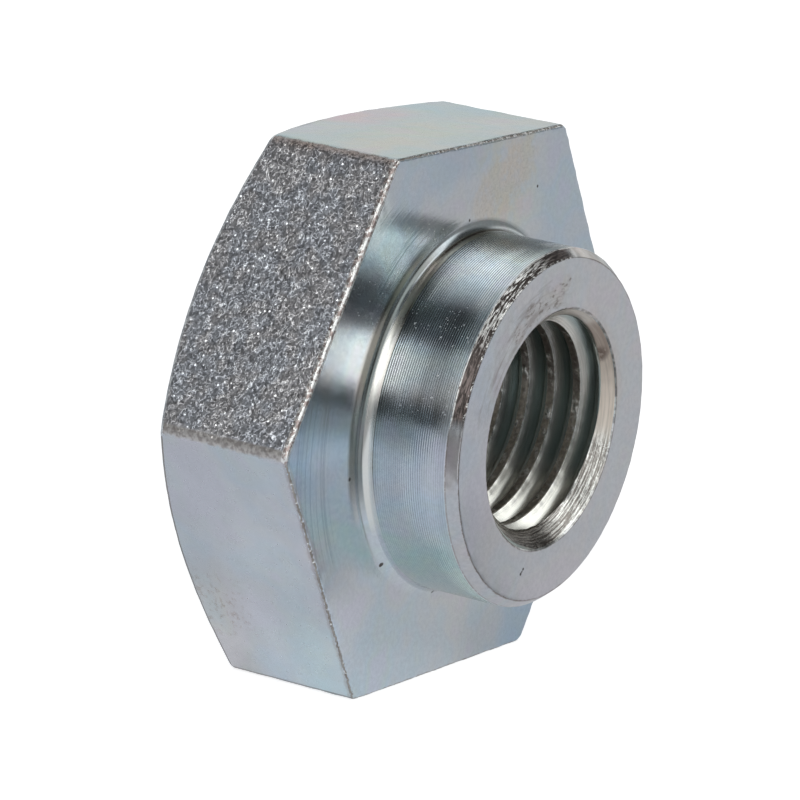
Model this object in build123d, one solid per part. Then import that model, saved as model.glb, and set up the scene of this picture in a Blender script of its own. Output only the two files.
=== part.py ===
from build123d import *
from math import cos, radians, tan
import os

# Hex weld nut: one piece of hexagon bar, turned and bored right through for its thread.
# Millimetres. The thread axis lies along Y through the origin, which is the centre of the
# shoulder, the hexagon's faced front. The boss stands out of the shoulder towards -Y, the
# chamfered back faces +Y, and the nut stands on one flat of its hexagon, with +Z up.

# Hexagon bar
across_flats = 36.0
corner_radius = 0.9  # rounding of the bar's six corner edges
hex_height = 11.5  # shoulder to back face
shoulder_edge_radius = 0.25  # light rounding where the shoulder meets the flats

# Cone turned over the hexagon's back corners
back_chamfer_angle = 26.0  # between the cone and the back face
back_face_diameter = 34.0

# Turned boss, which centres the nut in a tube
boss_diameter = 24.0
boss_length = 7.1
boss_chamfer_length = 0.7
boss_chamfer_depth = 0.55
boss_root_radius = 0.8  # fillet between the boss and the shoulder

# Thread: the bore is cut to its minor diameter, the crests of a metric internal thread
thread_diameter = 16.0
thread_pitch = 2.0
flank_angle = 30.0  # each flank's slope from the thread's radial plane
countersink_diameter = 16.2
countersink_angle = 90.0  # included angle, at both mouths

turning_clearance = 1.0  # how far the turned form reaches past the hexagon's corners
minor_diameter = thread_diameter - 1.25 * thread_pitch * cos(radians(flank_angle))
corner_reach = across_flats / 2 / cos(radians(30))  # sharp corner's distance from the axis

# The nut is drawn about its turning axis, +Z towards the boss, and laid over at the end.
SHOULDER = Plane(origin=(0, 0, 0), x_dir=(1, 0, 0), z_dir=(0, -1, 0))


def hexagon_bar():
    """The bar as it is sawn off, with a flat below and its corner edges rounded."""
    hexagon = RegularPolygon(radius=across_flats / 2, side_count=6, major_radius=False)
    rounded = fillet(hexagon.vertices(), corner_radius)
    return Pos(0, 0, -hex_height) * extrude(rounded, hex_height + boss_length)


def turned_form():
    """What the lathe leaves inside the bar: half section of the boss, shoulder, cone and bore."""
    bore = minor_diameter / 2
    mouth = countersink_diameter / 2
    countersink_depth = (mouth - bore) / tan(radians(countersink_angle / 2))
    boss = boss_diameter / 2
    back = back_face_diameter / 2
    outside = corner_reach + turning_clearance
    cone_rise = (outside - back) * tan(radians(back_chamfer_angle))
    outline = Polyline(
        (bore, countersink_depth - hex_height),
        (mouth, -hex_height),
        (back, -hex_height),
        (outside, cone_rise - hex_height),
        (outside, 0),
        (boss, 0),
        (boss, boss_length - boss_chamfer_length),
        (boss - boss_chamfer_depth, boss_length),
        (mouth, boss_length),
        (bore, boss_length - countersink_depth),
        close=True,
    )
    section = make_face(outline)
    root = section.vertices().sort_by_distance((boss, 0, 0))[0]
    return revolve(Plane.XZ * fillet(root, boss_root_radius), Axis.Z)


def hex_weld_nut():
    """The turned form inside the bar, with the shoulder's outer edge lightly rounded."""
    nut = hexagon_bar() & turned_form()
    back, shoulder, nose = nut.faces().filter_by(Plane.XY).sort_by(Axis.Z)
    return fillet(shoulder.outer_wire().edges(), shoulder_edge_radius)


os.makedirs("parts", exist_ok=True)
export_step(SHOULDER * hex_weld_nut(), "parts/hex_weld_nut.step")
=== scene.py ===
from math import cos, pi, radians, sin, sqrt, tan
import bpy
import numpy as np
from mathutils import Matrix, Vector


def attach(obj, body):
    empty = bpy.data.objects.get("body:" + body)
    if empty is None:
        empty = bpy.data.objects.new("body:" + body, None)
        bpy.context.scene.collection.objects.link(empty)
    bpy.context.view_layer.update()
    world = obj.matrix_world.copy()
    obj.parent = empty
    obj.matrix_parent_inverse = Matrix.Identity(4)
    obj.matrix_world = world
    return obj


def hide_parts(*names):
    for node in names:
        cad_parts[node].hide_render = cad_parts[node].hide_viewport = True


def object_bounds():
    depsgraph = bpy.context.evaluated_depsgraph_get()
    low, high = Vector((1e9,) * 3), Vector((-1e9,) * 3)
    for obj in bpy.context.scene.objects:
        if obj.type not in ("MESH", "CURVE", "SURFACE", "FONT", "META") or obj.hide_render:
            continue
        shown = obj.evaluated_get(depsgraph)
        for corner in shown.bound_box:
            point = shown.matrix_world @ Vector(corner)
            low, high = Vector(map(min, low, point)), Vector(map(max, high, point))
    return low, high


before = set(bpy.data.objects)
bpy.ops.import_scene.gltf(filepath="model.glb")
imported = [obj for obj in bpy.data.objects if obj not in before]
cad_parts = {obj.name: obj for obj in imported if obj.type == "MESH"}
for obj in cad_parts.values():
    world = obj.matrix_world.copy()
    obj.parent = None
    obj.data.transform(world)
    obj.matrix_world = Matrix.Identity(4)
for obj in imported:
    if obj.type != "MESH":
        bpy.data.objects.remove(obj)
cad_box = [[float(v) for v in corner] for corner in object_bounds()]

# Hex weld nut. Lengths are millimetres in the nut's own frame: the thread axis is Y, the
# shoulder is y = 0, the boss stands towards -Y and the nut stands on its lower flat, -Z.

# Hexagon
HALF_FLATS = 18.0
CORNER_RADIUS = 0.9
HEX_HEIGHT = 11.5
SHOULDER_EDGE_RADIUS = 0.25
BACK_CHAMFER_ANGLE = radians(26.0)
BACK_FACE_RADIUS = 17.0
CONE_LINE = HEX_HEIGHT + BACK_FACE_RADIUS * tan(BACK_CHAMFER_ANGLE)  # y + tan * radius on it

# Boss
BOSS_RADIUS = 12.0
BOSS_LENGTH = 7.1
BOSS_CHAMFER_LENGTH = 0.7
BOSS_CHAMFER_DEPTH = 0.55
BOSS_ROOT_RADIUS = 0.8
FACE_Y = -BOSS_LENGTH
NOSE_Y = BOSS_CHAMFER_LENGTH - BOSS_LENGTH  # where the chamfer meets the boss
NOSE_RADIUS = BOSS_RADIUS - BOSS_CHAMFER_DEPTH  # where the chamfer meets the face

# Thread, right-handed
PITCH = 2.0
MAJOR_RADIUS = 8.0
MINOR_RADIUS = MAJOR_RADIUS - 0.625 * PITCH * cos(radians(30))
MOUTH_RADIUS = 8.1
RING_DEPTH = 0.1  # how far inside each mouth the outer skin and the bore join
FIRST_CREST = -2.597  # y of a crest's middle on the +X side
CREST_EDGE = 1 / 8  # where the crest ends, in pitches from its middle
ROOT_EDGE = 7 / 16  # where the root begins

# Finish: the granular flat's direction in degrees from +X towards +Z, the beads along worn
# edges, pale ones painted as their glints, and the marks of handling as x, z and reach
GRANULAR_FLAT = 150
PALE_BEAD = (1.0, 0.97, 0.95)
BROWN_BEAD = (0.45, 0.36, 0.34)
SHOULDER_PITS = [(7.36, 14.11, 0.13), (-0.94, 12.85, 0.13), (9.62, -13.07, 0.10), (10.11, -12.88, 0.10),
                 (-13.0, -2.6, 0.16), (-8.5, -9.1, 0.21), (-1.95, -12.15, 0.14)]
SHOULDER_SMUDGES = [(1.0, 13.9, 2.6), (3.2, 15.0, 3.0), (5.4, 16.2, 2.6), (-13.0, -2.5, 1.0)]
FACE_SMEARS = [(-0.9, 9.1, 1.2), (-2.4, 8.7, 1.3), (-3.9, 8.2, 1.2), (-5.3, 7.2, 1.0), (0.2, 9.9, 0.8)]
FACE_PITS = [(-2.21, -9.04, 0.13), (-2.34, -9.19, 0.10), (-2.48, -9.33, 0.15)]

# Mesh: six sectors of columns round the outside, half as many round the bore
CORNER_HALF_SPAN = radians(1.5)
CORNER_COLUMNS = 20
FLAT_COLUMNS = 80


# ---------------------------------------------------------------- surfaces

def ripple(points, wavelength, seed, waves=24):
    """A smooth random height of about -1 to 1 at each point.

    The sum of plane waves in random directions, each sin(2 pi (way . point) / length + phase)
    with a length of 0.7 to 1.4 wavelengths, divided so that its spread stays the same.
    """
    rng = np.random.default_rng(seed)
    ways = rng.normal(size=(waves, 3))
    ways /= np.linalg.norm(ways, axis=1, keepdims=True)
    lengths = wavelength * rng.uniform(0.7, 1.4, (waves, 1))
    phases = rng.uniform(0, 2 * pi, waves)
    return np.sin(points @ (2 * pi * ways / lengths).T + phases).sum(-1) / sqrt(waves)


def ease(value, low, high):
    """0 below low, 1 above high, and the cubic 3t^2 - 2t^3 between."""
    t = np.clip((value - low) / (high - low), 0, 1)
    return t * t * (3 - 2 * t)


def column_angles():
    """Directions of the outer columns: close together over each rounded corner, even between."""
    corner = np.linspace(-CORNER_HALF_SPAN, CORNER_HALF_SPAN, CORNER_COLUMNS, endpoint=False)
    flat = np.linspace(CORNER_HALF_SPAN, pi / 3 - CORNER_HALF_SPAN, FLAT_COLUMNS, endpoint=False)
    sector = np.concatenate([corner, flat])
    return (np.arange(6)[:, None] * pi / 3 + sector).ravel()


def hexagon_reach(angle):
    """Distance from the axis to the bar's side in a direction.

    The flat lies at HALF_FLATS / cos(turn from the flat's middle). Near a corner the circle of
    CORNER_RADIUS that touches both flats is nearer, and the ray meets it at
    d cos(g) + sqrt(r^2 - d^2 sin(g)^2), g being the turn from the corner and d the distance
    to the circle's centre.
    """
    from_corner = np.abs((angle + pi / 6) % (pi / 3) - pi / 6)
    flat = HALF_FLATS / np.cos(pi / 6 - from_corner)
    centre = (HALF_FLATS - CORNER_RADIUS) / cos(pi / 6)
    under = CORNER_RADIUS ** 2 - (centre * np.sin(from_corner)) ** 2
    arc = centre * np.cos(from_corner) + np.sqrt(np.clip(under, 0, None))
    touch = np.arctan(tan(pi / 6) * (HALF_FLATS - CORNER_RADIUS) / HALF_FLATS)
    return np.where(pi / 6 - from_corner > touch, arc, flat)


def rounded_rows(corners, radii, arc_steps, run_steps):
    """Rows of points down a turned profile whose corners may differ from column to column.

    A run between two corners is divided at (1 - cos(pi i / n)) / 2, so that rows gather at
    its ends. At a corner the rows follow the circle that touches both runs:
    ((1-t)^2 a + 2wt(1-t) c + t^2 b) / ((1-t)^2 + 2wt(1-t) + t^2), where a and b are where it
    touches, c is the corner and w the cosine of half its turn. Each row also gets a station:
    the corner's number on its arc, and a number between on a run.
    """
    corners = np.asarray(corners)
    into = corners[:-2] - corners[1:-1]
    onward = corners[2:] - corners[1:-1]
    into /= np.linalg.norm(into, axis=-1, keepdims=True)
    onward /= np.linalg.norm(onward, axis=-1, keepdims=True)
    turn = pi - np.arccos((into * onward).sum(-1, keepdims=True))
    reach = np.asarray(radii)[:, None, None] * np.tan(turn / 2)
    enters = np.concatenate([corners[1:-1] + into * reach, corners[-1:]])
    leaves = np.concatenate([corners[:1], corners[1:-1] + onward * reach])
    weight = np.cos(turn / 2)
    rows, stations = [corners[0]], [0.0]
    for k, steps in enumerate(run_steps):
        for t in (1 - np.cos(pi * np.arange(1, steps + 1) / steps)) / 2:
            rows.append(leaves[k] + (enters[k] - leaves[k]) * t)
            stations.append(k + 0.1 + 0.8 * t if t < 1 else k + 0.95)
        if k == len(run_steps) - 1:
            break
        for t in np.arange(1, arc_steps[k] + 1) / arc_steps[k]:
            a, b, w = (1 - t) ** 2, t ** 2, 2 * weight[k] * t * (1 - t)
            rows.append((a * enters[k] + w * corners[k + 1] + b * leaves[k + 1]) / (a + w + b))
            stations.append(k + 1.0)
    return np.array(rows), np.array(stations)


def lathe_points(radius, y, angle):
    """x = r cos(a), y, z = r sin(a), for arrays of the same shape."""
    return np.stack([radius * np.cos(angle), y, radius * np.sin(angle)], axis=-1)


def surface_normals(grid):
    """Unit normals of a grid that closes on itself along its columns: across x down."""
    across = np.roll(grid, -1, axis=1) - np.roll(grid, 1, axis=1)
    down = np.gradient(grid, axis=0)
    normal = np.cross(across, down)
    return normal / np.linalg.norm(normal, axis=-1, keepdims=True)


def outside(angle):
    """The nut's outer skin, from the back mouth round the hexagon and boss to the front mouth.

    A lathe profile of radius and y whose two hexagon corners reach out to the bar's side.
    """
    reach = hexagon_reach(angle)
    cone_end = HEX_HEIGHT - (reach - BACK_FACE_RADIUS) * tan(BACK_CHAMFER_ANGLE)
    lead = RING_DEPTH / 2
    corners = [
        (MOUTH_RADIUS - lead, HEX_HEIGHT - lead),
        (MOUTH_RADIUS, HEX_HEIGHT),
        (BACK_FACE_RADIUS, HEX_HEIGHT),
        (reach, cone_end),
        (reach, 0),
        (BOSS_RADIUS, 0),
        (BOSS_RADIUS, NOSE_Y),
        (NOSE_RADIUS, FACE_Y),
        (MOUTH_RADIUS, FACE_Y),
        (MOUTH_RADIUS - lead, FACE_Y + lead),
    ]
    corners = [np.stack([radius + 0 * angle, y + 0 * angle], axis=-1) for radius, y in corners]
    radii = [0.06, 0.4, 0.3, SHOULDER_EDGE_RADIUS, BOSS_ROOT_RADIUS, 0.12, 0.1, 0.06]
    arc_steps = [2, 3, 3, 4, 7, 2, 2, 2]
    run_steps = [1, 3, 4, 20, 8, 12, 6, 7, 1]
    rows, station = rounded_rows(corners, radii, arc_steps, run_steps)
    turn = np.broadcast_to(angle, rows.shape[:2])
    grid = lathe_points(rows[..., 0], rows[..., 1], turn)
    return grid + surface_normals(grid) * outside_wear(grid, station, angle)[..., None], station


def outside_wear(grid, station, angle):
    """How far the skin is worn in or dented: hills and hollows on the flats, ragged edges.

    Stations 3 and 4 are the hexagon's back and shoulder edges, 6 and 7 the nose's. Everything
    is laid 0.01 deep, and the highest hills meet the true surface.
    """
    s = station[:, None]
    edge = np.exp(-((s - 4) / 0.06) ** 2)
    back_edge = np.exp(-((s - 3) / 0.1) ** 2)
    nose = ((s >= 6) & (s <= 7)) * 1.0
    from_corner = np.abs((angle + pi / 6) % (pi / 3) - pi / 6)
    corner = (1 - ease(from_corner, radians(0.8), radians(1.9))) * ((s > 3) & (s < 4))
    flat = ((s > 3) & (s < 4)) * (1 - corner)
    wear = 0.012 * flat * ripple(grid, 6.0, 1)
    wear += edge * (0.010 * ripple(grid, 1.3, 2) + 0.010 * ripple(grid, 0.6, 3))
    wear += back_edge * 0.01 * ripple(grid, 1.5, 4)
    wear += corner * (0.012 * ripple(grid, 1.6, 5) + 0.008 * ripple(grid, 0.7, 6))
    wear += nose * 0.008 * ripple(grid * [1, 3.5, 1], 1.2, 7)
    return wear - 0.01


def bore(angle):
    """The countersunk bore and its thread, as rows that follow the helix.

    A row keeps its place on the thread's profile and falls by one pitch a turn, so after the
    last column it joins the row one pitch lower. The radius is the thread's there, or the
    countersink's where that is wider, and rows past a mouth are laid on the mouth's ring.
    """
    torn_in, torn_out = CREST_EDGE - 0.04, CREST_EDGE + 0.04
    knots = np.array([-torn_out, -CREST_EDGE, -torn_in, 0.0, torn_in, CREST_EDGE, torn_out,
                      0.30, ROOT_EDGE, 1 - ROOT_EDGE, 0.70])
    low, high = FACE_Y + RING_DEPTH, HEX_HEIGHT - RING_DEPTH
    first = int(np.floor((low - FIRST_CREST) / PITCH)) - 1
    last = int(np.ceil((high - FIRST_CREST) / PITCH)) + 2
    phase = (np.arange(first, last)[:, None] + knots).ravel()
    y = FIRST_CREST + PITCH * (phase[:, None] - angle / (2 * pi))
    folded = np.abs((phase + 0.5) % 1 - 0.5)[:, None]
    thread = np.interp(folded, [CREST_EDGE, ROOT_EDGE], [MINOR_RADIUS, MAJOR_RADIUS])
    turn = np.broadcast_to(angle, y.shape)
    at = lathe_points(thread + 0 * y, y, turn)
    crest = 1 - ease(folded, 0.10, 0.16)
    torn = crest * (0.018 + 0.016 * ripple(at, 1.1, 11) + 0.018 * ripple(at, 0.45, 12))
    flank = 0.003 * ripple(at * [1, 3, 1], 3.0, 13)
    radius = thread + np.clip(torn + flank, -0.01, 0.10)
    kept = np.clip(y, low, high)
    cone = MOUTH_RADIUS - np.minimum(kept - FACE_Y, HEX_HEIGHT - kept)
    ground = lathe_points(MOUTH_RADIUS + 0 * kept, kept, turn)
    cone = cone + 0.012 * ripple(ground * [1, 4, 1], 1.0, 14)
    radius = np.maximum(radius, cone)
    near = 0.04
    below, above = y <= low + near, y >= high - near
    return lathe_points(radius, kept, turn), below, above, len(knots)


def closed_nut():
    """Vertices, triangles and each triangle's finish for the whole skin as one closed surface.

    Finish 0 is on the hexagon's flats, 1 on the turned faces and 2 in the bore.
    """
    angle = column_angles()
    skin, station = outside(angle)
    rows, columns = skin.shape[:2]
    grid = np.arange(rows * columns).reshape(rows, columns)
    right = np.roll(grid, -1, axis=1)
    quads = np.stack([grid[:-1], right[:-1], right[1:], grid[1:]], axis=-1)
    middle = (station[:-1] + station[1:]) / 2
    on_flat = (middle > 3.0) & (middle < 4.0)
    finish = np.where(on_flat, 0, 1)
    finish = np.broadcast_to(finish[:, None], quads.shape[:2])

    # bore: what lies past a mouth becomes its ring, and the last column joins a pitch lower
    half = angle[::2]
    inner, below, above, per_pitch = bore(half)
    mouth = MOUTH_RADIUS - RING_DEPTH
    front = lathe_points(mouth + 0 * half, FACE_Y + RING_DEPTH + 0 * half, half)
    back = lathe_points(mouth + 0 * half, HEX_HEIGHT - RING_DEPTH + 0 * half, half)
    start = rows * columns
    count = len(half)
    front_ring = start + np.arange(count)
    back_ring = front_ring + count
    number = start + 2 * count + np.arange(inner.shape[0] * count).reshape(-1, count)
    number = np.where(below, front_ring, np.where(above, back_ring, number))
    wrapped = np.concatenate([np.full(per_pitch, front_ring[0]), number[:-per_pitch, 0]])
    number = np.concatenate([number, wrapped[:, None]], axis=1)
    inner_quads = np.stack([
        number[:-1, :-1], number[:-1, 1:], number[1:, 1:], number[1:, :-1]], axis=-1)

    # zips between the skin's two ends and the rings, then only the triangles with an area
    front_zip = zip_rings(grid[-1], front_ring)
    back_zip = zip_rings(grid[0], back_ring)[:, ::-1]
    triangles = np.concatenate([
        split(quads.reshape(-1, 4)), front_zip, back_zip, split(inner_quads.reshape(-1, 4))])
    finishes = np.concatenate([
        np.repeat(finish.ravel(), 2), np.full(len(front_zip) + len(back_zip), 1),
        np.full(2 * inner_quads[..., 0].size, 2)])
    a, b, c = triangles.T
    whole = (a != b) & (b != c) & (c != a)
    triangles, finishes = triangles[whole], finishes[whole]
    points = np.concatenate([skin.reshape(-1, 3), front, back, inner.reshape(-1, 3)])
    used, compact = np.unique(triangles, return_inverse=True)
    return points[used], compact.reshape(-1, 3), finishes


def split(quads):
    """Two triangles for each quad, in order."""
    return np.stack([quads[:, [0, 1, 2]], quads[:, [0, 2, 3]]], axis=1).reshape(-1, 3)


def zip_rings(wide, narrow):
    """Triangles between a ring and the ring of half as many points that follows it."""
    far = np.roll(narrow, -1)
    even, odd, following = wide[::2], wide[1::2], np.roll(wide[::2], -1)
    return np.concatenate([
        np.stack([even, odd, narrow], axis=-1),
        np.stack([odd, far, narrow], axis=-1),
        np.stack([odd, following, far], axis=-1)])


def add_piece(name, points, triangles, finishes, materials):
    """A smooth-shaded object of the given mesh, in metres and kept inside the CAD box."""
    points = np.clip(points * 0.001, cad_box[0], cad_box[1])
    mesh = bpy.data.meshes.new(name)
    mesh.from_pydata(points, [], triangles)
    for material in materials:
        mesh.materials.append(material)
    mesh.polygons.foreach_set("material_index", finishes.astype(np.int32))
    mesh.polygons.foreach_set("use_smooth", np.ones(len(triangles), dtype=bool))
    mesh.update()
    mesh.set_sharp_from_angle(angle=radians(38))
    piece = bpy.data.objects.new(name, mesh)
    bpy.context.scene.collection.objects.link(piece)
    return piece


# ---------------------------------------------------------------- shader maths

class Value:
    """A shader socket whose operators add the Math nodes that work them out."""

    def __init__(self, graph, socket):
        self.graph = graph
        self.socket = socket

    def math(self, operation, *others):
        sockets = dict(enumerate((self,) + others))
        return self.graph.node("ShaderNodeMath", {"operation": operation}, sockets)

    def __add__(self, other):
        return self.math("ADD", other)

    __radd__ = __add__

    def __mul__(self, other):
        return self.math("MULTIPLY", other)

    __rmul__ = __mul__

    def __sub__(self, other):
        return self.math("SUBTRACT", other)

    def __rsub__(self, other):
        return (self * -1) + other

    def __truediv__(self, other):
        return self.math("DIVIDE", other)

    def __pow__(self, other):
        return self.math("POWER", other)

    def ease(self, low, high):
        """0 below low and 1 above high, or the other way round, with smooth ends."""
        settings = {"interpolation_type": "SMOOTHSTEP"}
        values = {"Value": self, "From Min": low, "From Max": high}
        return self.graph.node("ShaderNodeMapRange", settings, values)

    def band(self, low, high, soft):
        """1 between low and high, 0 outside, with smooth ends."""
        return self.ease(low - soft, low + soft) * self.ease(high + soft, high - soft)


class Graph:
    """A node tree. One method adds any node: its type, its settings, then its sockets."""

    def __init__(self, tree):
        self.tree = tree
        tree.nodes.clear()

    def node(self, kind, settings=None, sockets=None, out=0):
        """The numbered output of a new node, if it has any. A ramp's stops are a setting."""
        added = self.tree.nodes.new(kind)
        for key, setting in (settings or {}).items():
            if key == "stops":
                ramp = added.color_ramp.elements
                while len(ramp) < len(setting):
                    ramp.new(0.5)
                for stop, (place, colour) in zip(ramp, setting):
                    stop.position = place
                    stop.color = (*colour, 1)
            else:
                setattr(added, key, setting)
        for key, value in (sockets or {}).items():
            if isinstance(value, Value):
                self.tree.links.new(value.socket, added.inputs[key])
            else:
                added.inputs[key].default_value = value
        return Value(self, added.outputs[out]) if len(added.outputs) else None

    def mix(self, factor, first, second, blend="MIX"):
        """The first colour where the factor is 0 and the second, or its blend, where it is 1."""
        settings = {"data_type": "RGBA", "blend_type": blend, "clamp_factor": True}
        first, second = [(*c, 1) if isinstance(c, tuple) else c for c in (first, second)]
        return self.node("ShaderNodeMix", settings, {0: factor, 6: first, 7: second}, out=2)

    def vector(self, operation, *others):
        return self.node("ShaderNodeVectorMath", {"operation": operation}, dict(enumerate(others)))

    def scaled(self, vector, factor):
        return self.node("ShaderNodeVectorMath", {"operation": "SCALE"}, {0: vector, 3: factor})

    def parts(self, vector):
        """A vector's x, y and z."""
        added = self.node("ShaderNodeSeparateXYZ", None, {0: vector}).socket.node
        return [Value(self, socket) for socket in added.outputs]

    def join(self, x, y, z):
        return self.node("ShaderNodeCombineXYZ", None, {0: x, 1: y, 2: z})

    def noise(self, vector, scale, detail=2.0, roughness=0.5, w=None):
        """Fractal noise of about 0.5, with a fourth coordinate where w is given."""
        settings = {"noise_dimensions": "3D" if w is None else "4D"}
        sockets = {"Vector": vector, "Scale": scale, "Detail": detail, "Roughness": roughness}
        if w is not None:
            sockets["W"] = w
        return self.node("ShaderNodeTexNoise", settings, sockets)

    def mirrored(self):
        """1 for rays that a mirror or a glass sends on, else 0."""
        ray = self.node("ShaderNodeLightPath").socket.node.outputs
        return Value(self, ray["Is Glossy Ray"]).math("MAXIMUM", Value(self, ray["Is Transmission Ray"]))

    def seen(self):
        """1 for rays straight from the camera, else 0."""
        return Value(self, self.node("ShaderNodeLightPath").socket.node.outputs["Is Camera Ray"])


class Finish(Graph):
    """A metal finish on the nut, with its place on the nut in millimetres."""

    def __init__(self, name):
        self.material = bpy.data.materials.new(name)
        self.material.use_nodes = True
        super().__init__(self.material.node_tree)
        self.mm = self.scaled(self.node("ShaderNodeTexCoord", out=3), 1000.0)
        self.x, self.y, self.z = self.parts(self.mm)
        self.radius = (self.x * self.x + self.z * self.z) ** 0.5
        self.cosine = self.x / self.radius
        self.sine = self.z / self.radius

    def marks(self, scale, low, high, detail=2.0, shift=0.0):
        """Blotches of about 1 / scale millimetres: 0 where the noise is at low, 1 at high."""
        vector = self.vector("ADD", self.mm, (shift, -shift, shift)) if shift else self.mm
        return self.noise(vector, scale, detail, 0.6).ease(low, high)

    def streaks(self, across, along, detail=2.0):
        """Noise drawn out round the axis: across counts over the radius and y, along round
        the circle, through a fourth coordinate so that it closes."""
        vector = self.join(self.radius * across, self.y * across, self.cosine * along)
        return self.noise(vector, 1.0, detail, 0.6, self.sine * along)

    def towards(self, degrees, half_span, soft=8):
        """1 on the side of the axis that lies within half_span of a direction."""
        turn = radians(degrees)
        level = self.cosine * cos(turn) + self.sine * sin(turn)
        return level.ease(cos(radians(half_span + soft)), cos(radians(half_span - soft)))

    def out_along(self, degrees):
        """Distance from the axis measured along a direction."""
        return self.x * cos(radians(degrees)) + self.z * sin(radians(degrees))

    def spot(self, x, z, reach):
        """1 near the line along the axis through (x, z), fading out at reach."""
        across, up = self.x - x, self.z - z
        return ((across * across + up * up) ** 0.5).ease(reach, 0.4 * reach)

    def spots(self, places):
        """The sum of the spots at a list of (x, z, reach)."""
        return sum(self.spot(*place) for place in places)

    def tint(self, amount, colour, factor):
        """A colour multiplied by another where amount is 1."""
        return self.mix(amount, colour, factor, "MULTIPLY")

    def tints(self, colour, layers):
        """A colour tinted by each (amount, factor) in turn."""
        for amount, factor in layers:
            colour = self.tint(amount, colour, factor)
        return colour

    def film(self):
        """Zinc's thin clear film: a grey that wanders through pink, straw, teal and violet,
        with a fine grain."""
        drift = self.noise(self.mm, 0.2, 2.5, 0.55)
        stops = [
            (0.36, (0.73, 0.655, 0.675)),
            (0.43, (0.71, 0.69, 0.645)),
            (0.49, (0.67, 0.68, 0.69)),
            (0.54, (0.625, 0.69, 0.70)),
            (0.60, (0.655, 0.695, 0.645)),
            (0.67, (0.70, 0.66, 0.70)),
        ]
        film = self.node("ShaderNodeValToRGB", {"stops": stops}, {0: drift})
        return self.tint(self.marks(5.5, 0.3, 0.7, 1.0), film, (0.95, 0.95, 0.95))

    def bump(self, height):
        """The normal over a height in millimetres."""
        return self.node("ShaderNodeBump", None, {"Height": height, "Distance": 0.001})

    def facets(self, normal, scale, lean):
        """A normal broken into grains of 1 / scale millimetres that each lean their own way:
        normal + lean * (random colour of the grain - 0.5), made unit length."""
        grains = self.node("ShaderNodeTexVoronoi", None, {"Vector": self.mm, "Scale": scale}, 1)
        return self.lean(normal, self.vector("SUBTRACT", grains, (0.5, 0.5, 0.5)), lean)

    def lean(self, normal, way, amount):
        """The unit normal along normal + amount * way."""
        return self.vector("NORMALIZE", self.vector("ADD", normal, self.scaled(way, amount)))

    def sparkles(self, scale, chosen):
        """Round dots about 0.3 / scale millimetres across in a share of the cells."""
        cells = {"Vector": self.mm, "Scale": scale}
        distance = self.node("ShaderNodeTexVoronoi", None, cells)
        pick = self.parts(self.node("ShaderNodeTexVoronoi", None, cells, 1))[0]
        return distance.ease(0.27, 0.12) * pick.ease(1 - chosen, 1.05 - chosen)

    def metal(self, colour, roughness, normal):
        """The finished material: bare metal of the given colour, roughness and normal."""
        sockets = {"Base Color": colour, "Metallic": 1.0, "Roughness": roughness, "Normal": normal}
        shader = self.node("ShaderNodeBsdfPrincipled", None, sockets)
        self.node("ShaderNodeOutputMaterial", None, {"Surface": shader})
        return self.material


# ---------------------------------------------------------------- finishes

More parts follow.
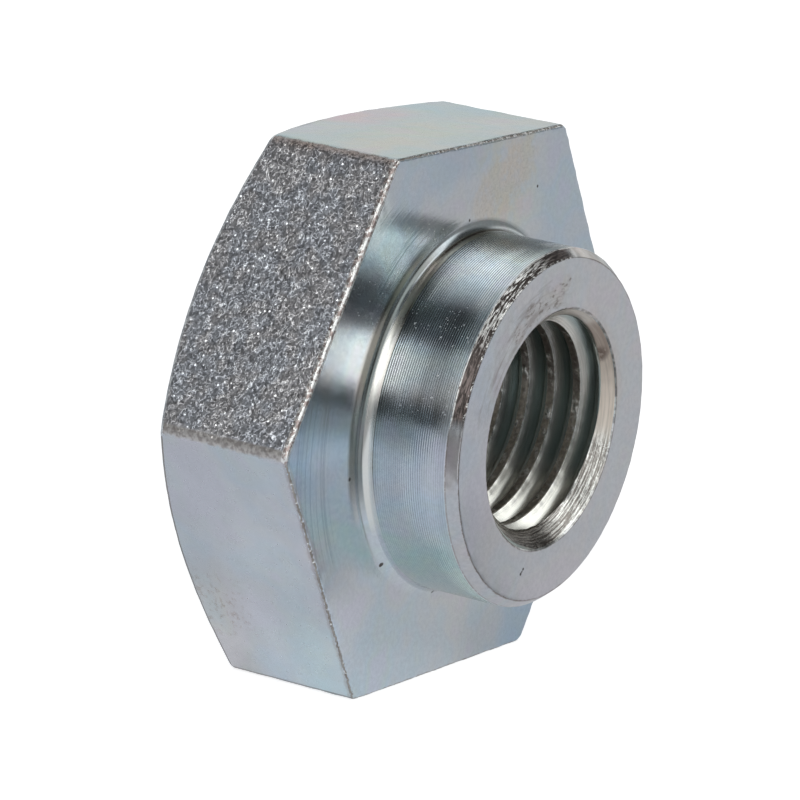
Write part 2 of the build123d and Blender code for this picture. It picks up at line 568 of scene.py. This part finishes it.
def rolled_flats():
    """The bar's own skin on the flats: deep-pickled and granular on the upper left, else smooth."""
    f = Finish("zinc_on_rolled_flats")
    out = f.out_along(GRANULAR_FLAT)
    along = f.out_along(GRANULAR_FLAT - 90)
    fray = f.noise(f.mm, 1.7, 2.0, 0.6)
    grain = (out + 0.4 * fray).ease(17.84, 18.02)
    worn_corner = along.ease(-9.70, -9.95)
    dim_corner = along.ease(9.2, 10.3)

    # granular skin: pale worms over a grey ground, and dots painted white as glints (painted highlights),
    # whose normals also lean towards the light
    relief = f.noise(f.mm, 3.1, 1.5, 0.6)
    worms = (f.noise(f.mm, 3.5, 0.5, 0.5) - 0.5).math("ABSOLUTE").ease(0.075, 0.02)
    worms = worms * f.marks(2.8, 0.42, 0.54, 1.0, 7.0)
    painted_glint_dots = f.sparkles(2.3, 0.52)
    pits = f.marks(2.7, 0.40, 0.30, 1.0, 19.0)
    skin = f.mix(relief.ease(0.3, 0.7), (0.52, 0.51, 0.54), (0.70, 0.69, 0.72))
    skin = f.mix(0.75 * worms, skin, (1.0, 0.99, 1.0))
    skin = f.mix(0.45 * pits, skin, (0.20, 0.19, 0.20))
    skin = f.mix(painted_glint_dots, skin, (1.0, 1.0, 1.0))
    skin = f.tints(skin, [
        (1, (0.965, 0.985, 1.02)),
        (f.marks(0.55, 0.40, 0.60, 1.0, 3.0), (1.05, 1.0, 0.95)),
        (dim_corner, (0.76, 0.71, 0.68)),
        ((along + 0.8 * fray).ease(10.2, 10.7), (0.66, 0.61, 0.57)),
    ])
    corner = f.mix(relief.ease(0.38, 0.6), (0.41, 0.37, 0.355), (0.62, 0.58, 0.56))
    skin = f.mix(worn_corner, skin, corner)
    # the shoulder edge's beads on the flats: pale ones painted as the edge's glints, between brown ones
    beads_and_glints = f.noise(f.mm, 3.4, 3.0, 0.65).ease(0.43, 0.54)
    rim = f.y.ease(0.46, 0.34)
    skin = f.mix(rim, skin, f.mix(beads_and_glints, BROWN_BEAD, PALE_BEAD))

    # both together: the skin where the grain is 1, the film where it is 0
    mottle = f.noise(f.mm, 2.2, 3.0, 0.6)
    film = smooth_film(f, mottle)
    # painted shade: the corner above the standing flat darkened where it would reflect the floor's shadow
    painted_shade_at_toe = f.z.ease(-17.70, -17.80) * f.x.ease(-9.90, -10.05)
    swell = f.noise(f.mm, 1.2, 1.5, 0.5)
    rough_relief = (1 - 0.75 * worn_corner) * (0.09 * relief + 0.03 * worms + 0.04 * painted_glint_dots)
    height = grain * rough_relief + (1 - grain) * 0.010 * swell
    normal = f.facets(f.bump(height), 4.2, 0.35 * grain * (1 - 0.7 * worn_corner))
    normal = f.lean(normal, (0, -1, 0), grain * (0.55 * painted_glint_dots + 0.22 * worms))
    roughness = 0.18 + 0.20 * grain * (1 + worn_corner - painted_glint_dots)
    roughness = roughness + (1 - grain) * (0.05 + 0.07 * mottle)
    colour = f.tint(painted_shade_at_toe * mottle.ease(0.25, 0.45), f.mix(grain, film, skin), (0.50, 0.46, 0.44))
    return f.metal(colour, roughness, normal)


def smooth_film(f, mottle):
    """The smooth flats' film: pink, straw and teal patches on top, blue-grey on the lower left."""
    drift = f.noise(f.mm, 0.35, 3.0, 0.6)
    left = f.z.ease(4.0, -2.0)
    film = f.mix(0.6 * left, f.film(), (0.675, 0.685, 0.695))
    top = f.z.ease(17.0, 17.9)
    stained = f.spot(-13.6, -13.0, 3.5) * f.y.ease(6.0, 8.0) * mottle.ease(0.52, 0.64)
    margin = (f.y + 0.5 * (mottle - 0.5)).ease(0.42, 0.22)
    film = f.tints(film, [
        (f.z.ease(-16.0, -10.0), (0.82, 0.81, 0.81)),
        (left, (0.985, 1.02, 1.085)),
        (left * drift.ease(0.40, 0.60), (0.96, 0.96, 0.96)),
        (left * f.y.ease(5.5, 9.0) * f.z.ease(-8.0, -12.5), (1.04, 0.99, 0.92)),
        (left * f.y.ease(8.5, 5.0) * f.z.ease(-3.0, -8.0), (1.10, 1.09, 1.075)),
        (left * f.y.ease(6.0, 2.0) * f.z.ease(-10.0, -14.0), (0.97, 1.05, 1.02)),
        (left * stained, (0.86, 0.82, 0.79)),
        (top, (0.795, 0.87, 0.885)),
        (top * f.x.band(-2.5, 4.5, 1.8) * f.y.ease(6.5, 9.0), (1.17, 0.90, 0.95)),
        (top * f.x.band(-10.0, -4.5, 1.5) * f.y.ease(7.5, 9.5), (0.92, 1.00, 1.04)),
        (top * f.x.band(-9.0, 3.5, 2.0) * f.y.band(2.0, 6.5, 1.5), (1.07, 1.02, 0.93)),
        (top * f.x.ease(4.5, 7.0) * f.y.ease(4.0, 6.0), (0.86, 0.99, 1.05)),
        (0.8 * left * margin, (0.80, 0.74, 0.72)),
        (left * f.y.ease(1.8, 0.6), (1.03, 0.99, 0.99)),
    ])
    return film


class TurnedFinish(Finish):
    """The finish of faced and turned metal, which knows the surfaces of the boss and shoulder."""

    def __init__(self, name):
        super().__init__(name)
        self.cylinder = self.y.band(NOSE_Y + 0.05, -0.85, 0.05)
        self.shoulder = self.y.band(-0.01, 0.3, 0.01)
        self.face = self.y.ease(FACE_Y + 0.03, FACE_Y + 0.005)
        self.crumbs = self.noise(self.mm, 2.6, 3.0, 0.65)
        self.cloud = self.noise(self.mm, 0.8, 3.0, 0.6)


def turned_faces():
    """Faced and turned metal: each layer takes the colour below it and adds its own marks, with
    their height in millimetres and their roughness."""
    f = TurnedFinish("zinc_on_turned_faces")
    height, lines, facing = feed_rings(f)
    colour = film_and_painted_reflections(f, lines, facing)
    colour, specks = handling_marks(f, colour)
    colour = mouth_and_scores(f, colour)
    colour, dull_root = boss_root(f, colour)
    colour, torn_height, rough_tears = nose_chamfer(f, colour)
    colour, edge_height, rough_edge = shoulder_edge(f, colour)
    colour, rough_pits = back_edge(f, colour)
    roughness = 0.11 + 0.12 * f.cloud + 0.14 * f.cylinder * f.y.ease(-5.3, -6.2)
    roughness = roughness + specks + dull_root + rough_tears + rough_edge + rough_pits
    return f.metal(colour, roughness, f.bump(height + torn_height + edge_height))


def feed_rings(f):
    """The tool's rings, crisp on the boss and broken on the shoulder: height and two masks."""
    feed = (f.y * (2 * pi / 0.17)).math("SINE")
    patchy = 0.75 + 0.25 * f.streaks(1.5, 2.0).ease(0.3, 0.65)
    patchy = patchy * (0.25 + 0.75 * f.towards(118, 52, 6))
    rings = f.streaks(5.0, 1.0)
    lines = f.cylinder * feed.ease(0.25, 1.0) * patchy
    facing = f.shoulder * f.streaks(6.5, 0.6, 3.0).ease(0.47, 0.58) * f.towards(190, 18, 9)
    facing = facing * f.radius.ease(15.3, 16.3)
    height = 0.007 * f.cylinder * feed * patchy + (0.005 - 0.003 * f.cylinder) * rings
    return height, lines, facing


def film_and_painted_reflections(f, lines, facing):
    """The zinc's film, cooler to the left and straw-coloured above the boss, over the rings, with painted
    reflections: bright and dark bands by direction on the boss and shoulder.
    """
    colour = f.mix(0.45 + 0.2 * f.face, f.film(), (0.67, 0.68, 0.69))
    straw = f.spot(3.2, 15.2, 5.0) * f.cloud.ease(0.35, 0.55)
    haze = f.mix(f.noise(f.mm, 3.0, 4.0, 0.7).ease(0.35, 0.65), (1.04, 1.04, 1.04), (0.955, 0.955, 0.965))
    colour = f.tints(colour, [
        (f.x.ease(2.0, -9.0) * (1 - f.face), (0.96, 1.0, 1.04)),
        (f.towards(232, 18, 12) * f.cylinder, (0.92, 1.03, 0.93)),
        (straw * f.shoulder, (1.05, 0.99, 0.91)),
        (f.x.ease(6.0, 9.5) * f.shoulder, (0.86, 0.935, 1.03)),
        # painted shade: a dark band on the shoulder's outer part at 108 degrees, standing in for a
        # reflection
        (f.towards(108, 18, 10) * f.radius.ease(15.3, 16.8) * f.shoulder, (0.90, 0.925, 0.97)),
        (f.x.ease(0.5, 5.0) * f.z.ease(-12.5, -15.5) * f.shoulder, (0.87, 0.90, 0.93)),
        (f.towards(118, 38, 15) * f.cylinder, (0.95, 1.01, 1.02)),
        # painted reflections on the boss: the tints by direction down to 141.5 degrees make narrow dark and
        # bright bands
        (f.y.band(-5.3, -3.6, 0.6) * f.towards(150, 20, 8) * f.cylinder, (0.72, 0.70, 0.70)),
        (f.y.band(-5.2, -2.0, 0.5) * f.towards(139, 9, 4) * f.cylinder, (0.74, 0.72, 0.73)),
        (f.y.ease(-5.4, -6.0) * f.towards(151, 12, 5) * f.cylinder, (1.20, 1.17, 1.16)),
        (f.y.ease(-1.6, -2.6) * f.towards(130, 6, 4) * f.cylinder, (0.74, 0.74, 0.74)),
        (f.y.ease(-3.2, -4.6) * f.towards(189, 15, 8) * f.cylinder, (0.84, 0.86, 0.91)),
        (f.y.ease(-2.8, -1.8) * f.towards(156, 8, 4) * f.cylinder, (1.35, 1.30, 1.28)),
        (f.towards(102, 6, 4) * f.cylinder, (1.42, 1.38, 1.36)),
        (f.towards(141.5, 4, 3) * f.cylinder, (0.62, 0.61, 0.62)),
        # painted reflection: a bright band on the shoulder at 177 degrees
        (f.towards(177, 6, 4) * f.shoulder, (1.08, 1.16, 1.18)),
        (f.x.band(-6.0, 7.0, 3.0) * f.z.ease(12.0, 14.5) * f.shoulder, (0.92, 0.94, 0.98)),
        # painted reflection: a bright band on the shoulder at 131 degrees
        (f.towards(131, 4, 3) * f.shoulder, (1.32, 1.34, 1.28)),
        (0.95 * lines, (0.16, 0.16, 0.18)),
        # painted reflections: bright bands on the shoulder at 202 and 158 degrees
        (f.towards(202, 26, 10) * f.shoulder, (1.14, 1.12, 1.14)),
        (f.towards(158, 8, 4) * f.shoulder, (1.24, 1.12, 1.07)),
        (0.42 * facing, (0.50, 0.53, 0.57)),
        (f.face, (0.985, 0.96, 0.985)),
        (1, haze),
        (f.face * f.x.ease(-6.5, -9.5), (0.95, 0.99, 1.04)),
    ])
    return colour


def handling_marks(f, colour):
    """Fine bright specks, and the pits, smudges and smears left by handling."""
    often = 0.12 + 0.88 * f.cylinder * f.towards(150, 17, 8) + 0.55 * f.shoulder * f.towards(128, 26, 8)
    specks = f.marks(5.0, 0.69, 0.75, 1.0, 5.0) * (1 - f.face) * often
    colour = f.mix(specks * 0.8, colour, (0.95, 0.96, 0.98))
    pits = f.spots(SHOULDER_PITS) * f.y.band(-0.9, 0.5, 0.1) + f.face * f.spots(FACE_PITS)
    colour = f.mix(pits.ease(0.0, 0.7), colour, (0.10, 0.085, 0.08))
    grit = f.marks(6.0, 0.52, 0.64, 2.0, 15.0)
    smudge = f.spots(SHOULDER_SMUDGES) + 2.4 * (f.cloud - 0.5)
    smudge = f.shoulder * smudge.ease(0.30, 1.10) * f.z.ease(-9.0, 3.0)
    colour = f.tint(smudge, colour, (1.035, 0.985, 0.935))
    colour = f.mix(0.22 * smudge * grit, colour, (0.30, 0.25, 0.22))
    patch = f.face * f.spots(FACE_SMEARS).ease(0.1, 1.0)
    smear = f.face * f.towards(130, 36, 16) * f.radius.ease(11.4, 9.4)
    dirt = 0.30 * f.cloud.ease(0.40, 0.60) + 0.70 * f.streaks(2.6, 3.5, 4.0).ease(0.47, 0.62)
    flecks = patch * f.streaks(4.0, 17.0, 4.0).ease(0.52, 0.62)
    colour = f.tint(patch, colour, (0.97, 0.925, 0.885))
    colour = f.mix(0.62 * smear * dirt, colour, (0.30, 0.26, 0.24))
    colour = f.mix(0.75 * flecks, colour, (0.22, 0.18, 0.16))
    return colour, 0.35 * specks


def mouth_and_scores(f, colour):
    """The face's warm inner side and worn mouth, and the scores round the boss's root."""
    lip = f.face * f.radius.ease(9.1, 8.3) * f.towards(33, 28, 14)
    scored = f.shoulder * f.radius.band(13.3, 14.9, 0.4) * f.towards(132, 13, 6)
    scored = scored * f.streaks(7.0, 1.0, 3.0).ease(0.46, 0.57)
    colour = f.tints(colour, [(lip, (1.0, 0.94, 0.90)), (0.8 * scored, (0.42, 0.52, 0.53))])
    mouth = f.y.ease(FACE_Y + 0.13, FACE_Y + 0.09) * f.radius.ease(MOUTH_RADIUS + 0.10, MOUTH_RADIUS + 0.03)
    worn = f.mix(f.crumbs.ease(0.40, 0.60), (0.50, 0.47, 0.45), (0.92, 0.88, 0.85))
    colour = f.tint(mouth, colour, worn)
    return colour


def boss_root(f, colour):
    """Round the fillet at the boss's root: darkened and warmed on the upper left, with a painted highlight
    there and a dark seam, painted shade on its shoulder side, and a painted glint and paler painted
    highlight down its left.
    """
    root = f.y.band(-0.95, -0.33, 0.06) * f.radius.ease(12.9, 12.6)
    colour = f.tint(root * f.towards(122, 34, 12), colour, (0.86, 0.80, 0.68))
    # painted highlight: the fillet lighter at 113 degrees
    colour = f.tint(root * f.towards(113, 9, 6), colour, (1.28, 1.28, 1.30))
    seam = f.y.band(-0.56, -0.40, 0.05) * root * f.towards(88, 28, 8)
    seam = seam + f.y.band(-0.86, -0.76, 0.03) * f.towards(144, 9, 4)
    colour = f.mix(seam * f.crumbs.ease(0.30, 0.44), colour, (0.15, 0.12, 0.10))
    fillet = f.y.band(-0.92, 0.5, 0.06) * f.radius.ease(12.9, 12.7)
    # painted highlights: a glint down the fillet's left and a paler highlight below it
    glint = fillet * f.y.ease(-0.22, -0.30) * f.towards(160, 13, 9)
    painted_pale_highlight = fillet * f.y.ease(-0.22, -0.30) * f.towards(193, 17, 6)
    colour = f.tint(fillet * f.towards(84, 24, 10), colour, (0.74, 0.75, 0.76))
    colour = f.mix(glint, colour, (0.97, 0.93, 0.88))
    colour = f.mix(0.75 * painted_pale_highlight, colour, (0.90, 0.865, 0.80))
    # painted shade: the shoulder beside the root darkened next to the glint
    painted_shade_by_root = f.y.band(-0.26, 0.5, 0.04) * f.radius.ease(13.65, 13.15) * f.towards(156, 42, 10)
    colour = f.tint(painted_shade_by_root, colour, (0.31, 0.31, 0.29))
    return colour, 0.14 * (glint + root * f.towards(116, 24, 10))


def nose_chamfer(f, colour):
    """The chamfer, torn and dark on the upper left and scuffed below."""
    chamfer = f.y.ease(NOSE_Y + 0.04, NOSE_Y - 0.04) * f.radius.ease(NOSE_RADIUS - 0.07, NOSE_RADIUS + 0.01)
    tears = f.streaks(11.0, 16.0, 3.0)
    torn = chamfer * f.towards(128, 42, 3)
    ragged = f.towards(122, 18, 9)
    dark = f.mix(tears.ease(0.44, 0.60), (0.075, 0.062, 0.058), (0.22, 0.175, 0.165))
    bright = tears.ease(0.50, 0.55) * ragged
    edges = f.y.ease(NOSE_Y - 0.10, NOSE_Y - 0.04) * f.streaks(4.0, 30.0).ease(0.36, 0.5)
    inner = f.noise(f.mm, 4.5, 3.0, 0.65).ease(0.50, 0.60)
    edges = edges.math("MAXIMUM", f.radius.ease(NOSE_RADIUS + 0.09, NOSE_RADIUS + 0.03) * inner)
    colour = f.mix(torn, colour, f.mix(bright.math("MAXIMUM", edges), dark, PALE_BEAD))
    below = f.towards(231, 59, 5)
    right = f.towards(20, 54, 5)
    colour = f.tints(colour, [
        (chamfer * f.towards(76, 8, 5), (0.82, 0.765, 0.74)),
        (chamfer * below, (0.90, 0.83, 0.815)),
        (chamfer * right, (0.38, 0.36, 0.345)),
    ])
    thin = f.noise(f.mm, 3.2, 3.0, 0.65)
    outer_line = f.y.band(NOSE_Y - 0.07, NOSE_Y + 0.02, 0.02) * f.radius.ease(11.8, 11.9)
    inner_line = (f.radius + 0.22 * (thin - 0.5)).band(NOSE_RADIUS - 0.09, NOSE_RADIUS + 0.01, 0.03)
    inner_line = inner_line * f.y.ease(FACE_Y + 0.2, FACE_Y + 0.1)
    bitten = 0.6 * outer_line * thin.ease(0.40, 0.52)
    bitten = bitten + inner_line * (0.55 + 0.45 * f.crumbs.ease(0.40, 0.56))
    colour = f.mix(0.85 * bitten * (below + 0.6 * right), colour, (0.31, 0.26, 0.235))
    return colour, 0.05 * torn * (tears + f.crumbs), 0.16 * torn


def shoulder_edge(f, colour):
    """The hexagon's edge round the shoulder: bright beads beside the granular flat, the pale ones painted
    as the edge's glints, else dark.
    """
    upper = f.out_along(GRANULAR_FLAT)
    other = f.out_along(GRANULAR_FLAT - 120).math("ABSOLUTE")
    reach = upper.math("ABSOLUTE").math("MAXIMUM", other).math("MAXIMUM", f.z.math("ABSOLUTE"))
    beside_grain = upper.ease(17.5, 17.65)
    rim = (reach - f.y) * f.y.ease(-0.05, -0.01)
    turn = (reach - (HALF_FLATS - SHOULDER_EDGE_RADIUS)).math("ARCTAN2", SHOULDER_EDGE_RADIUS - f.y)
    bites = 0.9 * (f.crumbs - 0.5) + 0.9 * (f.noise(f.mm, 5.5, 1.0, 0.6) - 0.5)
    ridge = (turn + bites).band(0.48, 1.14, 0.14) * f.y.ease(-0.03, 0.0) * (1 - beside_grain)
    bead_and_glint = rim.ease(17.62, 17.70) * beside_grain
    dark_edge = f.mix(f.cloud.ease(0.35, 0.65), (0.29, 0.25, 0.225), (0.46, 0.42, 0.39))
    chips = f.marks(3.6, 0.50, 0.60, 2.0, 27.0) * f.z.ease(16.5, 17.4) * f.x.ease(-8.0, -6.0)
    chips = chips.math("MAXIMUM", f.marks(3.0, 0.65, 0.72, 1.0, 21.0))
    dark_edge = f.mix(chips, dark_edge, (0.98, 0.96, 0.95))
    bead_and_glint_colour = f.mix(f.crumbs.ease(0.43, 0.54), BROWN_BEAD, PALE_BEAD)
    colour = f.mix(ridge, colour, dark_edge)
    # painted highlights: the pale beads beside the granular flat stand in for the edge's glints
    colour = f.mix(bead_and_glint, colour, bead_and_glint_colour)
    return colour, 0.05 * f.crumbs * (bead_and_glint + ridge), 0.16 * bead_and_glint + 0.30 * ridge


def back_edge(f, colour):
    """The hexagon's back edges, thin and brown, but pitted beside the granular flat."""
    beside_grain = f.out_along(GRANULAR_FLAT).ease(17.5, 17.65)
    rear = (f.y + tan(BACK_CHAMFER_ANGLE) * f.radius).ease(CONE_LINE - 0.0065, CONE_LINE - 0.0915)
    rear = rear * f.y.ease(5.0, 6.0) * f.radius.ease(17.4, 17.7)
    colour = f.tint(rear * (1 - beside_grain), colour, (0.42, 0.37, 0.34))
    pitted = rear * beside_grain
    pitting = f.mix(f.crumbs.ease(0.40, 0.60), (0.62, 0.62, 0.65), (1.0, 1.0, 1.0))
    colour = f.mix(pitted, colour, pitting)
    return colour, 0.5 * pitted


def cut_thread():
    """The bore: teal flanks that pale towards torn brown crests, with painted light near the mouth, painted
    shade deeper in and a painted highlight on the lower right, and the scraped countersinks.
    """
    f = Finish("zinc_on_cut_thread")
    streaks = f.streaks(7.0, 2.0, 3.0)
    crumbs = f.noise(f.mm, 4.0, 3.0, 0.65)
    front_cone, back_cone = MOUTH_RADIUS + FACE_Y, HEX_HEIGHT - MOUTH_RADIUS
    sunk = (f.radius + f.y).ease(front_cone + 0.10, front_cone + 0.05)
    sunk = sunk.math("MAXIMUM", (f.y - f.radius).ease(back_cone - 0.10, back_cone - 0.05))
    crest = f.radius.ease(6.985, 6.935) * (1 - sunk)
    root = f.radius.ease(7.86, 7.98) * (1 - sunk)
    gleam = f.towards(294, 28, 12)

    colour = f.mix(streaks.ease(0.35, 0.65), (0.42, 0.48, 0.465), (0.52, 0.565, 0.55))
    pale = f.mix(streaks.ease(0.38, 0.62), (0.58, 0.565, 0.54), (0.74, 0.72, 0.69))
    pale = f.tints(pale, [
        # painted light and shade: the pale flanks lighter near the front mouth and darker deeper in
        (f.y.ease(-3.0, -4.6), (1.35, 1.32, 1.28)),
        (f.y.ease(-2.0, 1.0), (0.75, 0.75, 0.75)),
        (f.towards(342, 19, 8), (0.66, 0.68, 0.68)),
    ])
    colour = f.mix(f.radius.ease(7.70, 7.15), colour, pale)
    # painted highlight: the flanks creamier where they gleam on the lower right, with the roughness lowered
    # there too
    colour = f.mix(gleam, colour, (0.84, 0.81, 0.75))
    colour = f.tint(root, colour, (0.80, 0.79, 0.77))
    torn = f.mix(crumbs.ease(0.35, 0.65), (0.23, 0.20, 0.18), (0.34, 0.30, 0.275))
    torn = f.tint(f.towards(325, 40, 15), torn, (1.6, 1.6, 1.5))
    colour = f.mix(crest, colour, torn)
    lip = f.radius.band(6.95, 7.02, 0.02) * (1 - sunk) * crumbs.ease(0.47, 0.54)
    colour = f.mix(0.8 * lip, colour, (0.95, 0.91, 0.87))

    # countersinks: scraped below, pale and stained on the right
    scraped = sunk * f.sine.ease(-0.12, -0.32)
    scrapes = 0.78 * f.streaks(10.0, 3.0, 3.0) + 0.22 * f.noise(f.mm, 6.5, 2.0, 0.7)
    cone = f.mix(streaks.ease(0.35, 0.65), (0.65, 0.595, 0.54), (0.80, 0.735, 0.67))
    score = f.mix(scrapes.ease(0.42, 0.59), (0.25, 0.22, 0.20), (0.90, 0.87, 0.83))
    deepest = f.towards(262, 16, 8) * f.radius.ease(7.55, 7.8) * crumbs.ease(0.40, 0.55)
    score = f.tint(f.towards(262, 22, 12), score, (0.45, 0.43, 0.42))
    score = f.tint(deepest, score, (0.4, 0.4, 0.4))
    cone = f.tint(f.towards(22, 30, 12), cone, (1.02, 0.95, 0.89))
    cone = f.mix(scraped, cone, score)
    stain = (f.spot(4.6, 5.2, 1.9) + f.spot(5.7, 4.2, 1.4)).ease(0.0, 0.9)
    cone = f.mix(0.7 * stain * streaks.ease(0.30, 0.62), cone, (0.34, 0.25, 0.21))
    cone = f.mix(0.8 * f.spot(6.1, 3.9, 0.9) * crumbs.ease(0.36, 0.52), cone, (0.19, 0.13, 0.11))
    colour = f.mix(sunk, colour, cone)

    # the flanks are slightly hollow, so that they lean inwards towards the root
    roughness = 0.27 + 0.14 * crest - 0.04 * gleam + 0.15 * sunk * (1 - scraped)
    height = (0.010 - 0.006 * gleam) * streaks + 0.03 * crest * crumbs + 0.04 * scraped * scrapes
    inward = f.join(f.cosine * -1, 0.0, f.sine * -1)
    hollow = 0.30 * f.radius.ease(7.10, 7.65) * (1 - sunk) * f.towards(295, 24, 10)
    return f.metal(colour, roughness, f.lean(f.bump(height), inward, hollow))


nut = add_piece("hex_weld_nut_skin", *closed_nut(), [rolled_flats(), turned_faces(), cut_thread()])
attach(nut, "root")
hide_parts("hex_weld_nut")


# ---------------------------------------------------------------- studio

def studio_world():
    """White behind the nut; round it the soft panels and dark gaps of a small studio.

    A panel's bearing is in degrees round Z from +X, and its height in degrees above the
    horizon.
    """
    world = bpy.data.worlds.new("studio")
    world.use_nodes = True
    bpy.context.scene.world = world
    g = Graph(world.node_tree)
    x, y, z = g.parts(g.node("ShaderNodeTexCoord"))
    bearing = y.math("ARCTAN2", x) * (180 / pi)
    height = z.math("ARCSINE") * (180 / pi)
    spread = bearing.math("ABSOLUTE")
    front = y.ease(0.12, -0.12)
    key = bearing.band(-84, -40, 5) * height.band(20, 58, 5)
    card = bearing.band(-126, -84, 4) * height.ease(42, 34)
    card = card * height.ease(10, 18).math("MAXIMUM", bearing.ease(-97, -103))
    top = bearing.band(28, 92, 6) * height.band(25, 66, 6) * (1 - 0.6 * bearing.ease(45, 75))
    side = spread.ease(130, 136) * height.band(15, 45, 3) * (0.28 + 1.80 * front)
    behind = bearing.band(-8, 75, 8) * height.band(-25, 24, 5)
    gap = bearing.band(-50, -10, 8) * height.band(-10, 28, 6)
    below = 0.6 * z.ease(0.0, -0.05)
    level = 0.07 + 1.50 * key + 1.2 * card + 0.85 * top + side + 0.75 * behind + 0.25 * gap + below
    surround = g.node("ShaderNodeBackground", None, {"Color": (0.95, 1, 1, 1), "Strength": level})
    white = g.node("ShaderNodeBackground", None, {"Color": (1, 1, 1, 1), "Strength": 1.0})
    factor = g.seen().math("MAXIMUM", 0.4 * g.mirrored() * behind)
    shader = g.node("ShaderNodeMixShader", None, {0: factor, 1: surround, 2: white})
    g.node("ShaderNodeOutputWorld", None, {"Surface": shader})


def pale_floor():
    """A wide pale floor under the standing flat, white to the eye but for the nut's shadow. In the nut's
    reflections it glows with painted light near the nut, darkened by a painted shadow in front, and in a
    brighter band further off to one side.
    """
    half = 3.0
    level = cad_box[0][2]
    corners = [(-half, -half, level), (half, -half, level), (half, half, level), (-half, half, level)]
    mesh = bpy.data.meshes.new("pale_floor")
    mesh.from_pydata(corners, [], [(0, 1, 2, 3)])
    floor = bpy.data.objects.new("pale_floor", mesh)
    bpy.context.scene.collection.objects.link(floor)
    material = bpy.data.materials.new("pale_floor")
    material.use_nodes = True
    g = Graph(material.node_tree)
    matt = g.node("ShaderNodeBsdfDiffuse", None, {"Color": (0.6, 0.6, 0.62, 1)})
    mirrored = g.mirrored()
    x, y, _ = g.parts(g.node("ShaderNodeTexCoord", out=3))
    bearing = y.math("ARCTAN2", x) * (180 / pi)
    far = (x * x + y * y) ** 0.5
    # painted light for reflected rays: a glow near the nut, a painted shadow in front of it, and a far
    # bright band
    near = y.ease(-0.045, -0.022).math("MAXIMUM", x.ease(0.02, 0.045))
    dark = bearing.band(-99, -48, 4) * y.ease(-0.011, -0.020)
    painted_glow = 0.24 + 0.16 * x.ease(0.02, -0.01) + 0.05 * x.ease(-0.012, -0.02) * y.ease(0, 0.005)
    painted_glow = near * (1 - dark) * painted_glow + 0.60 * bearing.band(-128, -101, 4) * far.ease(0.03, 0.045)
    cool = g.mix(x.ease(0.04, 0.0), (0.97, 0.98, 1.0), (0.88, 0.96, 1.04))
    colour = g.mix(mirrored, (1.0, 1.0, 1.0), cool)
    strength = 0.80 * g.seen() + mirrored * painted_glow
    glow = g.node("ShaderNodeEmission", None, {"Color": colour, "Strength": strength})
    shader = g.node("ShaderNodeAddShader", None, {0: matt, 1: glow})
    g.node("ShaderNodeOutputMaterial", None, {"Surface": shader})
    mesh.materials.append(material)


def soft_lamp(name, place, target, size, power):
    """A square area lamp that looks at a point."""
    lamp = bpy.data.lights.new(name, "AREA")
    lamp.size = size
    lamp.energy = power
    holder = bpy.data.objects.new(name, lamp)
    away = np.subtract(place, target)
    away = away / np.linalg.norm(away)
    side = np.cross((0, 0, 1), away)
    side = side / np.linalg.norm(side)
    up = np.cross(away, side)
    turn = Matrix(np.column_stack([side, up, away])).to_4x4()
    turn.translation = place
    holder.matrix_world = turn
    bpy.context.scene.collection.objects.link(holder)


def camera():
    """The viewpoint: in front and to the left of the boss, a little above, with a long lens."""
    place = (-0.29619, -0.17934, 0.08309)
    right = (0.5424, -0.8363, 0.0799)
    up = (0.1536, 0.1922, 0.9693)
    back = (-0.8259, -0.5135, 0.2327)
    data = bpy.data.cameras.new("camera")
    data.sensor_width = 36.0
    data.lens = 242.87
    data.clip_start = 0.01
    view = bpy.data.objects.new("camera", data)
    turn = Matrix(np.column_stack([right, up, back])).to_4x4()
    turn.translation = place
    view.matrix_world = turn
    bpy.context.scene.collection.objects.link(view)
    bpy.context.scene.camera = view


studio_world()
pale_floor()
soft_lamp("top_lamp", (0.1, 0.25, 0.9), (0, 0, 0), 0.6, 1.0)
camera()
bpy.context.scene.view_settings.view_transform = "Standard"
